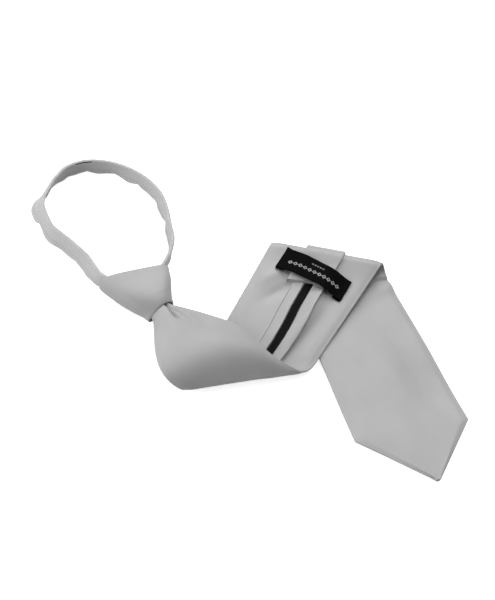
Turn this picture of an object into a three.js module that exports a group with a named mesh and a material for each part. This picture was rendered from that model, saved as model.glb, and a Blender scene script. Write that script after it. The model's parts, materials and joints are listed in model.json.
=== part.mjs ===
// A zipper tie that lies folded in a zigzag on a flat surface, in millimetres, +Z up.
// The blade is a strip with a taper. It is described in its own flat pattern: s runs along the
// strip from the corners of the tip towards the knot, and t runs across it.
import * as THREE from 'three';

// Clearance between pieces that touch
const GAP = 0.3;

// Blade
const BLADE_WIDTH = 85;
const BLADE_TAPER = 0.085;
const BLADE_THICKNESS = 3;
const BLADE_EDGE_SHARE = 0.5;
const BLADE_RIM = 0.7;
const TIP_DEPTH = 41.5;
const TIP_BLUNT = 0.9;
const BLADE_LENGTH = 379.7;
const BLADE_TUCK = 4;

// Where the tip's base lies and the heading from there to the upper fold, in degrees
const TIP_PLACE = { x: 131.3, y: -60.8, heading: 127.17 };

// Folds of the strip. at: the crease on the strip's axis. slope: how the crease leans across the
// strip. radius: of the roll. lift and over: degrees that the strip rises before the roll and
// turns back after it, over their lengths. end: the whole turn in degrees.
const UPPER_FOLD = {
  at: 150, slope: 0.438, lead: 26, radius: 5.5,
  lift: 12, liftLength: 18, over: 14, overLength: 18, end: 186,
};
const LOWER_FOLD = {
  at: 287.7, slope: 1.007, lead: 26, radius: 10,
  lift: 3.76, liftLength: 14, over: 20.66, overLength: 30, end: 180,
};
// Height of the lower fold's roll as shares of its radius, at the left and right ends of the crease
const LOWER_ROLL = { left: 0.801, crown: 0.175, right: 0.338 };
const ROLL_HALF_SPAN = 0.541 * BLADE_WIDTH;

// The blade's free top section, from the lower fold's roll to the knot's mouth: its first row, the
// pull of the surface at either end as shares of the distance, and the way it enters the mouth
const FREE_START = 298.35;
const FREE_SKEW = -13.4;
const FREE_PULL = {
  fromFold: { left: 1.393, right: 1.657, crown: 0.372 },
  intoKnot: { left: 0.406, right: 2.396, crown: 0.074 },
};
const FREE_ENTRY = {
  azimuth: { left: 2.412, right: 3.22, crown: -0.09 },
  elevation: { left: -0.281, right: -0.136, crown: -0.118 },
};
// Pleat that the mouth gathers into the blade: its place and width as shares of the half width
const PLEAT = { at: 0.2, width: 0.13, depth: 2.2, length: 26 };

// Tail of the zip cover: it passes under the keeper label and round the upper fold
const TAIL_WIDTH = 25;
const TAIL_THICKNESS = 1.9;
const TAIL_START = 188;
const TAIL_END = 72;
const TAIL_POINT = 12;
const TAIL_BLUNT = 0.12;
const TAIL_CENTRE = -0.5;
const COVER_END_THICKNESS = 3.2;
const COVER_END_LENGTH = 22;

// Closed zip strap: a black zip between two covers
const STRAP_THICKNESS = 1.6;
const ZIP_WIDTH = 7.2;
const COVER_WIDTH = 6.2;
const COVER_REACH = 0.5;
const ZIP_TUCK = 6;
// Drift of the strap's centre line across the blade: share of the way from the tail to the knot,
// and offset as a share of the zip's width
const STRAP_DRIFT = [
  { way: 0, offset: 0.25 },
  { way: 0.12, offset: 0.32 },
  { way: 0.22, offset: 0.5 },
  { way: 0.3, offset: 0.53 },
  { way: 0.42, offset: 0.4 },
  { way: 0.65, offset: 0.28 },
  { way: 1, offset: 0.14 },
];

// Keeper label, which arches over the tail
const LABEL_LENGTH = 50.4;
const LABEL_WIDTH = 19;
const LABEL_THICKNESS = 1;
const LABEL_AT = 178.6;
const LABEL_LEAN = -0.04;
const LABEL_CENTRE = 0.75;
const LABEL_ARCH = 4.3;
// The arch comes down beside the tail between these shares of the tail's width from its middle
const LABEL_ARCH_SIDES = { from: 0.4, to: 0.86 };

// Knot: a hollow wrap on its back. Its mouth takes the blade, its open top the neck bands.
const KNOT_MOUTH = { x: -50.3, y: -43, azimuth: 61 };
const KNOT_TOP = { x: -76, y: -23.5, azimuth: 41 };
const KNOT_WALL = 2.4;
const KNOT_RIM_WALL = 0.9;
const MOUTH_PLAY = 0.8;
const KNOT_SET_BACK = 0.8;
const KNOT_TOP_HALF = 24.8;
const KNOT_HEIGHT = 18.5;
const BLADE_MOUTH_HALF = 8.8;
const BLADE_MOUTH_SIDE = 6;
const BLADE_MOUTH_CROWN = 12.2;
const MOUTH_HALF = BLADE_MOUTH_HALF + BLADE_THICKNESS / 2 + MOUTH_PLAY + KNOT_RIM_WALL;
const MOUTH_HEIGHT = BLADE_MOUTH_CROWN + BLADE_THICKNESS / 2 + GAP + KNOT_RIM_WALL;
// way: share from mouth to top. spread: share of the way from the mouth's half width to the
// top's. aside: sideways shift as a share of the top's half width. rise: share of the way from
// the mouth's height to the knot's. wall: share of the way from the rim's wall to the full one.
const KNOT_SECTIONS = [
  { way: 0, spread: 0, aside: 0, rise: 0, wall: 0 },
  { way: 0.05, spread: 0.01, aside: -0.01, rise: 0.3, wall: 0.5 },
  { way: 0.13, spread: 0.06, aside: -0.02, rise: 0.62, wall: 1 },
  { way: 0.27, spread: 0.25, aside: -0.04, rise: 0.9, wall: 1 },
  { way: 0.45, spread: 0.49, aside: -0.045, rise: 1, wall: 1 },
  { way: 0.63, spread: 0.69, aside: -0.04, rise: 0.95, wall: 1 },
  { way: 0.82, spread: 0.87, aside: -0.035, rise: 0.78, wall: 1 },
  { way: 0.94, spread: 0.99, aside: -0.03, rise: 0.62, wall: 1 },
  { way: 1, spread: 1.02, aside: -0.025, rise: 0.52, wall: 0.75 },
];
const KNOT_SIDES = 32;
const KNOT_SQUARENESS = 0.5;

// Neck bands: fabric-bound zip tapes that stand on their edges
const BAND_HEIGHT = 12;
const BAND_THICKNESS = 2.5;
const BAND_PINCH = 0.7;
const BAND_INSIDE = 12;
const BAND_LIFT = 2.4;
const BAND_REST = 0.15;
const LOOP_LENGTH = 106;
const LOOP_WIDTH = 88;
// Route of each band from the slider: along and across the loop, as shares of its length and
// width, measured from the top of the knot. lean: how far the upper edge leans into the loop, as
// a share of the height.
const LEFT_ROUTE = [
  { along: -0.075, across: -0.09, lean: 0 },
  { along: -0.03, across: -0.17, lean: 0 },
  { along: 0.012, across: -0.222, lean: 0 },
  { along: 0.06, across: -0.272, lean: 0.1 },
  { along: 0.125, across: -0.296, lean: 0.17 },
  { along: 0.213, across: -0.314, lean: 0.2 },
  { along: 0.328, across: -0.365, lean: 0.2 },
  { along: 0.43, across: -0.422, lean: 0.2 },
  { along: 0.508, across: -0.462, lean: 0.2 },
  { along: 0.612, across: -0.476, lean: 0.3 },
  { along: 0.725, across: -0.472, lean: 0.45 },
  { along: 0.785, across: -0.434, lean: 0.48 },
  { along: 0.83, across: -0.362, lean: 0.32 },
  { along: 0.898, across: -0.236, lean: 0.05 },
  { along: 0.963, across: -0.114, lean: 0 },
  { along: 0.989, across: -0.019, lean: 0 },
  { along: 0.997, across: 0.065, lean: 0 },
];
const RIGHT_ROUTE = [
  { along: -0.075, across: 0.08, lean: 0 },
  { along: -0.025, across: 0.165, lean: 0 },
  { along: 0.02, across: 0.232, lean: 0 },
  { along: 0.056, across: 0.288, lean: 0.04 },
  { along: 0.129, across: 0.374, lean: 0.04 },
  { along: 0.229, across: 0.45, lean: 0.04 },
  { along: 0.325, across: 0.48, lean: 0.03 },
  { along: 0.461, across: 0.522, lean: 0 },
  { along: 0.576, across: 0.544, lean: 0 },
  { along: 0.673, across: 0.532, lean: 0 },
  { along: 0.759, across: 0.494, lean: 0 },
  { along: 0.856, across: 0.414, lean: 0 },
  { along: 0.925, across: 0.32, lean: 0 },
  { along: 0.966, across: 0.228, lean: 0 },
  { along: 0.988, across: 0.147, lean: 0 },
  { along: 0.997, across: 0.0693, lean: 0 },
];
const BAND_STATIONS = 44;

// Zip slider, hidden in the knot
const SLIDER = { length: 9, width: 8.4, height: 4, corner: 1.2 };

// Colours, from the cloth and the zip
const CLOTH = { color: 0xb9b9bb, roughness: 0.62, metalness: 0 };
const BAND_CLOTH = { color: 0xb2b2b4, roughness: 0.68, metalness: 0 };
const ZIP_TAPE = { color: 0x151516, roughness: 0.7, metalness: 0 };
const LABEL_WEAVE = { color: 0x1a1a1b, roughness: 0.75, metalness: 0 };
const SLIDER_METAL = { color: 0x8d8f92, roughness: 0.35, metalness: 1 };

const UP = new THREE.Vector3(0, 0, 1);
const radians = THREE.MathUtils.degToRad;
const clamp = THREE.MathUtils.clamp;
const mix = THREE.MathUtils.lerp;
const vec = (x, y, z) => new THREE.Vector3(x, y, z);
const smooth = (x, low, high) => THREE.MathUtils.smoothstep(x, low, high);
const steps = (count) => Array.from({ length: count + 1 }, (_, i) => i / count);

// A value that goes from left to right with a crown between them, at a share from 0 to 1
function spanValue(span, share) {
  return mix(span.left, span.right, share) + 4 * span.crown * share * (1 - share);
}

// Straight interpolation in a table of rows with named columns
function lookUp(table, column, value, result) {
  const last = table.length - 1;
  for (let i = 0; i < last; i += 1) {
    const from = table[i];
    const to = table[i + 1];
    if (value <= to[column] || i === last - 1) {
      const share = clamp((value - from[column]) / (to[column] - from[column]), 0, 1);
      return mix(from[result], to[result], share);
    }
  }
  return table[last][result];
}

// Half the strip's width at s; past the corners the tip narrows to its point
function halfWidth(s) {
  if (s < 0) return (BLADE_WIDTH / 2) * (1 + s / TIP_DEPTH);
  return (BLADE_WIDTH - BLADE_TAPER * s) / 2;
}

// Place and slope of a strip that bends by arcs, at the distance u along it
function bend(arcs, u) {
  let h = Math.min(u, 0);
  let z = 0;
  let angle = 0;
  let left = Math.max(u, 0);
  for (const arc of arcs) {
    const run = Math.min(left, arc.length);
    const next = angle + (arc.turn * run) / arc.length;
    const radius = arc.length / arc.turn;
    h += (Math.sin(next) - Math.sin(angle)) * radius;
    z -= (Math.cos(next) - Math.cos(angle)) * radius;
    angle = next;
    left -= run;
  }
  h += left * Math.cos(angle);
  z += left * Math.sin(angle);
  return { h, z, angle };
}

// The arcs of a fold: it lifts, rolls over and eases back to its whole turn
function foldArcs(fold) {
  const roll = fold.end - fold.lift + fold.over;
  return [
    { length: fold.liftLength, turn: radians(fold.lift) },
    { length: radians(roll) * fold.radius, turn: radians(roll) },
    { length: fold.overLength, turn: radians(-fold.over) },
  ];
}

// Directions across and along a crease in the pattern, and the point where its fold starts
function creaseFrame(fold) {
  const size = Math.hypot(fold.slope, 1);
  const across = { s: -fold.slope / size, t: 1 / size };
  const along = { s: across.t, t: -across.s };
  const start = { s: fold.at - along.s * fold.lead, t: -along.t * fold.lead };
  return { across, along, start, arcs: foldArcs(fold) };
}

const UPPER = creaseFrame(UPPER_FOLD);
const LOWER = creaseFrame(LOWER_FOLD);
const HEADING = radians(TIP_PLACE.heading);
const STRIP_ALONG = vec(Math.cos(HEADING), Math.sin(HEADING), 0);
const STRIP_ACROSS = vec(Math.sin(HEADING), -Math.cos(HEADING), 0);
const UPPER_ALONG = planeVector(UPPER.along);
const UPPER_ACROSS = planeVector(UPPER.across);

// The first section rests on the floor at the tip and on the tail at the fold
const TIP_REST = BLADE_THICKNESS / 2;
const FOLD_REST = TIP_REST + TAIL_THICKNESS + GAP;
const REST_START = 15;

function planeVector(p) {
  const v = STRIP_ALONG.clone().multiplyScalar(p.s);
  return v.addScaledVector(STRIP_ACROSS, p.t);
}

// The lying section and the upper fold
function upperSurface(s, t) {
  const ds = s - UPPER.start.s;
  const dt = t - UPPER.start.t;
  const place = bend(UPPER.arcs, ds * UPPER.along.s + dt * UPPER.along.t);
  const v = ds * UPPER.across.s + dt * UPPER.across.t;
  const rest = mix(TIP_REST, FOLD_REST, smooth(s, REST_START, TAIL_END));
  const point = vec(TIP_PLACE.x, TIP_PLACE.y, rest).add(planeVector(UPPER.start));
  point.addScaledVector(UPPER_ACROSS, v);
  point.addScaledVector(UPPER_ALONG, place.h);
  point.addScaledVector(UP, place.z);
  const normal = UPPER_ALONG.clone().multiplyScalar(-Math.sin(place.angle));
  normal.addScaledVector(UP, Math.cos(place.angle));
  return { point, normal };
}

// The lower fold rolls the strip back over its middle section
function foldedSurface(s, t) {
  const ds = s - LOWER.start.s;
  const dt = t - LOWER.start.t;
  const place = bend(LOWER.arcs, ds * LOWER.along.s + dt * LOWER.along.t);
  const v = ds * LOWER.across.s + dt * LOWER.across.t;
  const flatS = LOWER.start.s + v * LOWER.across.s + place.h * LOWER.along.s;
  const flatT = LOWER.start.t + v * LOWER.across.t + place.h * LOWER.along.t;
  const below = upperSurface(flatS, flatT);
  const share = clamp((v + ROLL_HALF_SPAN) / (2 * ROLL_HALF_SPAN), 0, 1);
  return below.point.addScaledVector(below.normal, -place.z * spanValue(LOWER_ROLL, share));
}

// The point of a skewed row that crosses the axis at s, at a share from -1 to 1 of the half width
function rowPoint(axisS, slope, share) {
  if (axisS < 0) return { s: axisS, t: share * halfWidth(axisS) };
  const s = (axisS - (slope * share * BLADE_WIDTH) / 2) / (1 - (slope * share * BLADE_TAPER) / 2);
  return { s, t: share * halfWidth(s) };
}

// The knot's own directions at a share of the way from its mouth to its top
function knotFrame(way) {
  const azimuth = radians(mix(KNOT_MOUTH.azimuth, KNOT_TOP.azimuth, way));
  const x = mix(KNOT_MOUTH.x, KNOT_TOP.x, way);
  const y = mix(KNOT_MOUTH.y, KNOT_TOP.y, way);
  return { centre: vec(x, y, 0), across: vec(Math.cos(azimuth), Math.sin(azimuth), 0) };
}

const KNOT_AXIS = vec(KNOT_TOP.x - KNOT_MOUTH.x, KNOT_TOP.y - KNOT_MOUTH.y, 0);
KNOT_AXIS.normalize();

// The arch that the mouth gathers the blade into, at a share from -1 to 1
function mouthArch(share) {
  const { centre, across } = knotFrame(0);
  const rise = (BLADE_MOUTH_CROWN - BLADE_MOUTH_SIDE) * (1 - share * share);
  const point = centre.addScaledVector(across, share * BLADE_MOUTH_HALF);
  point.z = BLADE_MOUTH_SIDE + rise;
  return point;
}

function entryDirection(half) {
  const azimuth = spanValue(FREE_ENTRY.azimuth, half);
  const elevation = spanValue(FREE_ENTRY.elevation, half);
  const level = Math.cos(elevation);
  return vec(Math.cos(azimuth) * level, Math.sin(azimuth) * level, Math.sin(elevation));
}

// The free top section: one smooth patch from the roll to the mouth, then straight into the knot
function freeSurface(start, end, s, share) {
  const half = (share + 1) / 2;
  const before = rowPoint(FREE_START - 0.5, LOWER_FOLD.slope, share);
  const from = foldedSurface(start.s, start.t);
  const fromDirection = from.clone().sub(foldedSurface(before.s, before.t)).normalize();
  const to = mouthArch(share);
  if (s > end) return to.addScaledVector(KNOT_AXIS, s - end);
  const span = from.distanceTo(to);
  const w = (s - start.s) / (end - start.s);
  const pullFrom = span * spanValue(FREE_PULL.fromFold, half) * (w ** 3 - 2 * w ** 2 + w);
  const pullTo = span * spanValue(FREE_PULL.intoKnot, half) * (w ** 3 - w ** 2);
  const point = from.multiplyScalar(2 * w ** 3 - 3 * w ** 2 + 1);
  point.addScaledVector(fromDirection, pullFrom);
  point.addScaledVector(to, -2 * w ** 3 + 3 * w ** 2);
  point.addScaledVector(entryDirection(half), pullTo);
  return point;
}

// The middle of the blade's thickness at a place in its pattern
function bladeMiddle(s, t) {
  const share = clamp(t / Math.max(halfWidth(s), 0.01), -1, 1);
  const start = rowPoint(FREE_START, LOWER_FOLD.slope, share);
  if (s <= start.s) return foldedSurface(s, t);
  return freeSurface(start, BLADE_LENGTH + FREE_SKEW * share, s, share);
}

// The same place with the frame of the surface: along, across and the front's normal
function bladeFrame(s, t) {
  const e = 0.25;
  const point = bladeMiddle(s, t);
  const along = bladeMiddle(s + e, t).sub(bladeMiddle(s - e, t)).normalize();
  const across = bladeMiddle(s, t + e).sub(bladeMiddle(s, t - e)).normalize();
  const normal = across.clone().cross(along).normalize();
  return { point, along, across, normal };
}

// Index list of closed rings joined in a row, with both ends closed or the last joined to the first
function ringIndex(ringCount, ringSize, looped) {
  const index = [];
  const quad = (a, b, c, d) => index.push(a, b, c, a, c, d);
  const bands = looped ? ringCount : ringCount - 1;
  for (let i = 0; i < bands; i += 1) {
    const here = i * ringSize;
    const next = ((i + 1) % ringCount) * ringSize;
    for (let j = 0; j < ringSize; j += 1) {
      const k = (j + 1) % ringSize;
      quad(here + j, here + k, next + k, next + j);
    }
  }
  if (looped) return index;
  const lastRing = (ringCount - 1) * ringSize;
  for (let j = 0; j < ringSize / 2; j += 1) {
    const mirror = (ringSize - j) % ringSize;
    const mirrorNext = ringSize - j - 1;
    if (j > 0) index.push(j, mirror, mirrorNext);
    if (j < ringSize / 2 - 1) index.push(j, mirrorNext, j + 1);
    if (j > 0) index.push(lastRing + j, lastRing + mirrorNext, lastRing + mirror);
    if (j < ringSize / 2 - 1) index.push(lastRing + j, lastRing + j + 1, lastRing + mirrorNext);
  }
  return index;
}

// Six times the volume of a closed mesh, below zero where its faces point in
function signedVolume(points, index) {
  let sum = 0;
  for (let i = 0; i < index.length; i += 3) {
    const [a, b, c] = [points[index[i]], points[index[i + 1]], points[index[i + 2]]];
    sum += a.dot(b.clone().cross(c));
  }
  return sum;
}

// A closed body from rings of points. A ring's first and middle points are its two edges.
function loft(rings, looped = false) {
  const points = rings.flat();
  const index = ringIndex(rings.length, rings[0].length, looped);
  if (signedVolume(points, index) < 0) index.reverse();
  const geometry = new THREE.BufferGeometry().setFromPoints(points);
  geometry.setIndex(index);
  geometry.computeVertexNormals();
  return geometry;
}

function piece(name, geometry, look) {
  const mesh = new THREE.Mesh(geometry, new THREE.MeshStandardMaterial(look));
  mesh.name = name;
  return mesh;
}

// How far the pleat sinks the blade's front, near the mouth
function pleatDepth(s, share) {
  const end = BLADE_LENGTH + FREE_SKEW * share;
  const near = smooth(s, end - PLEAT.length, end - 3);
  return PLEAT.depth * near * Math.exp(-(((share - PLEAT.at) / PLEAT.width) ** 2));
}

const BLADE_COLUMNS = [-1, -0.94, -0.84, -0.7, -0.52, -0.34, -0.17, 0, 0.1, 0.2, 0.3, 0.42, 0.56,
  0.7, 0.84, 0.94, 1];

// One ring round the blade: front from left to right, the rim, and back again
function bladeRing(place) {
  const front = [];
  const back = [];
  const rims = [];
  for (const share of BLADE_COLUMNS) {
    const { s, t } = place(share);
    const at = bladeFrame(s, t);
    const thinning = 1 - (1 - BLADE_EDGE_SHARE) * smooth(Math.abs(share), 0.7, 1) ** 2;
    const offset = (BLADE_THICKNESS / 2) * thinning;
    const sunk = pleatDepth(s, share);
    const middle = at.point.clone().addScaledVector(at.normal, -sunk);
    front.push(middle.clone().addScaledVector(at.normal, offset));
    back.push(middle.clone().addScaledVector(at.normal, -offset));
    if (Math.abs(share) === 1) rims.push(middle.addScaledVector(at.across, share * BLADE_RIM));
  }
  return [rims[0], ...front, rims[1], ...back.reverse()];
}

// Lean of the rows: square at the tip, parallel to each crease at its fold
const ROW_LEAN = [
  { s: 0, slope: 0 },
  { s: 60, slope: 0 },
  { s: UPPER_FOLD.at - 40, slope: UPPER_FOLD.slope },
  { s: UPPER_FOLD.at + 40, slope: UPPER_FOLD.slope },
  { s: LOWER_FOLD.at - 43, slope: LOWER_FOLD.slope },
  { s: LOWER_FOLD.at + 43, slope: LOWER_FOLD.slope },
];

// Row spacing along the strip: the folds have the close rows
const ROW_RUNS = [
  { from: -TIP_DEPTH + TIP_BLUNT, to: 0, count: 6 },
  { from: 0, to: UPPER_FOLD.at - 24, count: 9 },
  { from: UPPER_FOLD.at - 24, to: UPPER_FOLD.at + 22, count: 22 },
  { from: UPPER_FOLD.at + 22, to: LOWER_FOLD.at - 34, count: 9 },
  { from: LOWER_FOLD.at - 34, to: FREE_START, count: 16 },
];
const FREE_ROWS = 15;
const TUCK_ROWS = 2;

function makeBlade() {
  const rings = [];
  for (const run of ROW_RUNS) {
    for (const share of steps(run.count).slice(0, -1)) {
      const axisS = mix(run.from, run.to, share);
      const slope = lookUp(ROW_LEAN, 's', axisS, 'slope');
      rings.push(bladeRing((across) => rowPoint(axisS, slope, across)));
    }
  }
  for (const w of steps(FREE_ROWS)) {
    rings.push(bladeRing((across) => freeRowPoint(w, across)));
  }
  for (const w of steps(TUCK_ROWS).slice(1)) {
    rings.push(bladeRing((across) => {
      const end = freeRowPoint(1, across);
      return { s: end.s + w * BLADE_TUCK, t: end.t };
    }));
  }
  return piece('blade', loft(rings), CLOTH);
}

function freeRowPoint(w, across) {
  const start = rowPoint(FREE_START, LOWER_FOLD.slope, across);
  const s = mix(start.s, BLADE_LENGTH + FREE_SKEW * across, w);
  return { s, t: across * halfWidth(s) };
}

// How much the blade is gathered across at a place: real width for each millimetre of pattern
function gather(s, t) {
  const e = 0.5;
  return bladeMiddle(s, t + e).distanceTo(bladeMiddle(s, t - e)) / (2 * e);
}

// Room that the pleat's underside needs, all across the blade
function pleatRoom(s) {
  return (PLEAT.depth + 2 * GAP) * smooth(s, BLADE_LENGTH - PLEAT.length - 8, BLADE_LENGTH - 8);
}

// A ribbon that follows the blade's back: eight points round its section. It crosses the axis at
// axisS and leans like the blade's rows there.
function ribbonRing(axisS, centre, left, right, thickness) {
  const lean = lookUp(ROW_LEAN, 's', axisS, 'slope') * (1 - smooth(axisS, FREE_START, BLADE_LENGTH));
  const scale = gather(axisS, centre);
  const room = BLADE_THICKNESS / 2 + pleatRoom(axisS);
  const place = (x, y) => {
    const t = centre + x / scale;
    const at = bladeFrame(axisS - lean * t, t);
    return at.point.addScaledVector(at.normal, -room - y);
  };
  const rim = Math.min(thickness * 0.3, (right - left) * 0.2);
  const low = GAP;
  const high = GAP + thickness;
  const middle = GAP + thickness / 2;
  return [
    place(left, middle),
    place(left + rim, low), place((left + right) / 2, low), place(right - rim, low),
    place(right, middle),
    place(right - rim, high), place((left + right) / 2, high), place(left + rim, high),
  ];
}

// Places along a strip from a table of runs, the last end included
function spacedRows(runs) {
  const rows = runs.flatMap((run) => steps(run.count).slice(1).map((w) => mix(run.from, run.to, w)));
  return [runs[0].from, ...rows];
}

const TAIL_RUNS = [
  { from: TAIL_START, to: UPPER_FOLD.at + 20, count: 8 },
  { from: UPPER_FOLD.at + 20, to: UPPER_FOLD.at - 18, count: 26 },
  { from: UPPER_FOLD.at - 18, to: TAIL_END, count: 8 },
];

// The tail's half width narrows to a point at its hidden end, its cover end is thick and folded
function makeTail() {
  const rings = [];
  for (const s of spacedRows(TAIL_RUNS)) {
    const point = clamp((s - TAIL_END) / TAIL_POINT + TAIL_BLUNT, 0, 1);
    const half = (TAIL_WIDTH / 2) * point;
    const folded = smooth(s, TAIL_START - COVER_END_LENGTH, TAIL_START - COVER_END_LENGTH / 2);
    const thickness = mix(TAIL_THICKNESS, COVER_END_THICKNESS, folded);
    rings.push(ribbonRing(s, TAIL_CENTRE, -half, half, thickness));
  }
  return piece('tail', loft(rings), CLOTH);
}

// The strap runs from the tail to the knot
const STRAP_START = TAIL_START + GAP;
const STRAP_WAY = BLADE_LENGTH - STRAP_START;

function strapRing(s, left, right) {
  const way = clamp((s - STRAP_START) / STRAP_WAY, 0, 1);
  const centre = lookUp(STRAP_DRIFT, 'way', way, 'offset') * ZIP_WIDTH;
  return ribbonRing(s, centre, left, right, STRAP_THICKNESS);
}

function makeStrapPart(name, left, right, end, count, look) {
  const rings = steps(count).map((share) => strapRing(mix(STRAP_START, end, share), left, right));
  return piece(name, loft(rings), look);
}

function makeStrap() {
  const edge = ZIP_WIDTH / 2;
  const coverEnd = mix(FREE_START, BLADE_LENGTH, COVER_REACH);
  const inner = edge + GAP;
  const outer = inner + COVER_WIDTH;
  return [
    makeStrapPart('strap_zip', -edge, edge, BLADE_LENGTH + ZIP_TUCK, 56, ZIP_TAPE),
    makeStrapPart('strap_cover_left', -outer, -inner, coverEnd, 46, CLOTH),
    makeStrapPart('strap_cover_right', inner, outer, coverEnd, 46, CLOTH),
  ];
}

// The keeper label lies across the blade's back and arches over the tail
function makeLabel() {
  const rings = [];
  for (const share of steps(28)) {
    const across = mix(-LABEL_LENGTH / 2, LABEL_LENGTH / 2, share);
    const t = LABEL_CENTRE + across;
    const s = LABEL_AT + LABEL_LEAN * across;
    const aside = Math.abs(t - TAIL_CENTRE) / TAIL_WIDTH;
    const arch = 1 - smooth(aside, LABEL_ARCH_SIDES.from, LABEL_ARCH_SIDES.to);
    const offset = BLADE_THICKNESS / 2 + GAP + LABEL_ARCH * arch;
    const place = (x, y) => {
      const at = bladeFrame(s + x, t);
      return at.point.addScaledVector(at.normal, -offset - y);
    };
    const half = LABEL_WIDTH / 2;
    const rim = LABEL_THICKNESS / 2;
    rings.push([
      place(-half, rim),
      place(-half + rim, 0), place(0, 0), place(half - rim, 0),
      place(half, rim),
      place(half - rim, LABEL_THICKNESS), place(0, LABEL_THICKNESS), place(-half + rim, LABEL_THICKNESS),
    ]);
  }
  return piece('keeper_label', loft(rings), LABEL_WEAVE);
}

// One section of the knot: a squarish ring on the floor, inset by a wall
function knotRing(section, inset, lengthwise) {
  const { centre, across } = knotFrame(section.way);
  centre.addScaledVector(KNOT_AXIS, lengthwise);
  centre.addScaledVector(across, section.aside * KNOT_TOP_HALF);
  const half = mix(MOUTH_HALF, KNOT_TOP_HALF, section.spread) - inset;
  const height = mix(MOUTH_HEIGHT, KNOT_HEIGHT, section.rise);
  const halfHeight = height / 2 - inset;
  const ring = [];
  for (let i = 0; i < KNOT_SIDES; i += 1) {
    const angle = (i / KNOT_SIDES) * 2 * Math.PI;
    const x = Math.sign(Math.cos(angle)) * Math.abs(Math.cos(angle)) ** KNOT_SQUARENESS;
    const z = Math.sign(Math.sin(angle)) * Math.abs(Math.sin(angle)) ** KNOT_SQUARENESS;
    const point = centre.clone().addScaledVector(across, x * half);
    point.z = height / 2 + z * halfHeight;
    ring.push(point);
  }
  return ring;
}

// The knot's wrap: outside from mouth to top, over the rim and back along the inside
function makeKnot() {
  const outside = [];
  const inside = [];
  for (const section of KNOT_SECTIONS) {
    const back = KNOT_SET_BACK * (1 - section.way);
    const wall = mix(KNOT_RIM_WALL, KNOT_WALL, section.wall);
    outside.push(knotRing(section, 0, back));
    inside.push(knotRing(section, wall, back));
  }
  const rings = [...outside, ...inside.reverse()];
  return piece('knot', loft(rings, true), CLOTH);
}

// Where the slider starts: just past the end of the zip, in the knot
function sliderSeat() {
  const end = strapRing(BLADE_LENGTH + ZIP_TUCK, -ZIP_WIDTH / 2, ZIP_WIDTH / 2);
  const seat = end[2].clone().add(end[6]).multiplyScalar(0.5);
  const reach = Math.max(...end.map((point) => point.clone().sub(seat).dot(KNOT_AXIS)));
  return seat.addScaledVector(KNOT_AXIS, reach + GAP);
}

// Where a band starts: behind the slider, on its own side of the knot's axis
function bandStart(side) {
  const start = sliderSeat().addScaledVector(KNOT_AXIS, SLIDER.length + BAND_THICKNESS / 2);
  const across = vec(-KNOT_AXIS.y, KNOT_AXIS.x, 0);
  start.addScaledVector(across, side * (BAND_THICKNESS / 2 + GAP));
  start.z = 0;
  return start;
}

// A point of the neck loop's plan, from the shares of a route's row
function routePoint(row) {
  const top = knotFrame(1);
  const along = vec(-top.across.y, top.across.x, 0);
  const point = top.centre.addScaledVector(along, row.along * LOOP_LENGTH);
  point.addScaledVector(top.across, row.across * LOOP_WIDTH);
  return point;
}

// Section of a band that stands on its edge: eight points. leanSide turns the lean into the loop.
function bandRing(curve, u, lean, leanSide) {
  const point = curve.getPointAt(u);
  const heading = curve.getTangentAt(u);
  const side = vec(heading.y, -heading.x, 0).normalize();
  const length = curve.getLength();
  const free = smooth(u * length, BAND_INSIDE, 3 * BAND_INSIDE);
  const height = BAND_HEIGHT * mix(BAND_PINCH, 1, free);
  const bottom = mix(KNOT_WALL + BAND_LIFT, BAND_REST, free);
  const half = BAND_THICKNESS / 2;
  const rim = half * 0.8;
  const place = (x, z) => {
    const p = point.clone().addScaledVector(side, x + leanSide * lean * z);
    p.z = bottom + z;
    return p;
  };
  return [
    place(0, 0),
    place(half, rim), place(half, height / 2), place(half, height - rim),
    place(0, height),
    place(-half, height - rim), place(-half, height / 2), place(-half, rim),
  ];
}

function makeBand(name, side, route) {
  const points = [bandStart(side), ...route.map(routePoint)];
  const curve = new THREE.CatmullRomCurve3(points, false, 'centripetal');
  const rings = steps(BAND_STATIONS).map((u) => {
    const row = curve.getUtoTmapping(u) * route.length - 1;
    const from = clamp(Math.floor(row), 0, route.length - 2);
    const lean = mix(route[from].lean, route[from + 1].lean, clamp(row - from, 0, 1));
    return bandRing(curve, u, lean, side);
  });
  return piece(name, loft(rings), BAND_CLOTH);
}

// The slider that closes the two tapes, a plain piece in the knot
function makeSlider() {
  const shape = new THREE.Shape();
  const half = SLIDER.width / 2;
  const c = SLIDER.corner;
  shape.moveTo(0, -half + c);
  shape.lineTo(c, -half);
  shape.lineTo(SLIDER.length - c, -half);
  shape.lineTo(SLIDER.length, -half + c);
  shape.lineTo(SLIDER.length, half - c);
  shape.lineTo(SLIDER.length - c, half);
  shape.lineTo(c, half);
  shape.lineTo(0, half - c);
  const geometry = new THREE.ExtrudeGeometry(shape, { depth: SLIDER.height, bevelEnabled: false });
  const mesh = piece('zip_slider', geometry, SLIDER_METAL);
  const seat = sliderSeat();
  mesh.position.set(seat.x, seat.y, seat.z - SLIDER.height / 2);
  mesh.rotation.z = Math.atan2(KNOT_AXIS.y, KNOT_AXIS.x);
  return mesh;
}

const tie = new THREE.Group();
tie.name = 'zipper_tie';
tie.add(makeBlade(), makeTail(), ...makeStrap(), makeLabel(), makeKnot(), makeSlider());
tie.add(makeBand('neck_band_left', 1, LEFT_ROUTE), makeBand('neck_band_right', -1, RIGHT_ROUTE));

// The origin is under the middle of the whole tie, on the surface that it lies on
tie.updateMatrixWorld(true);
const bounds = new THREE.Box3().setFromObject(tie, true);
const middle = bounds.getCenter(vec(0, 0, 0));
tie.position.set(-middle.x, -middle.y, -bounds.min.z);

export default tie;
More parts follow.
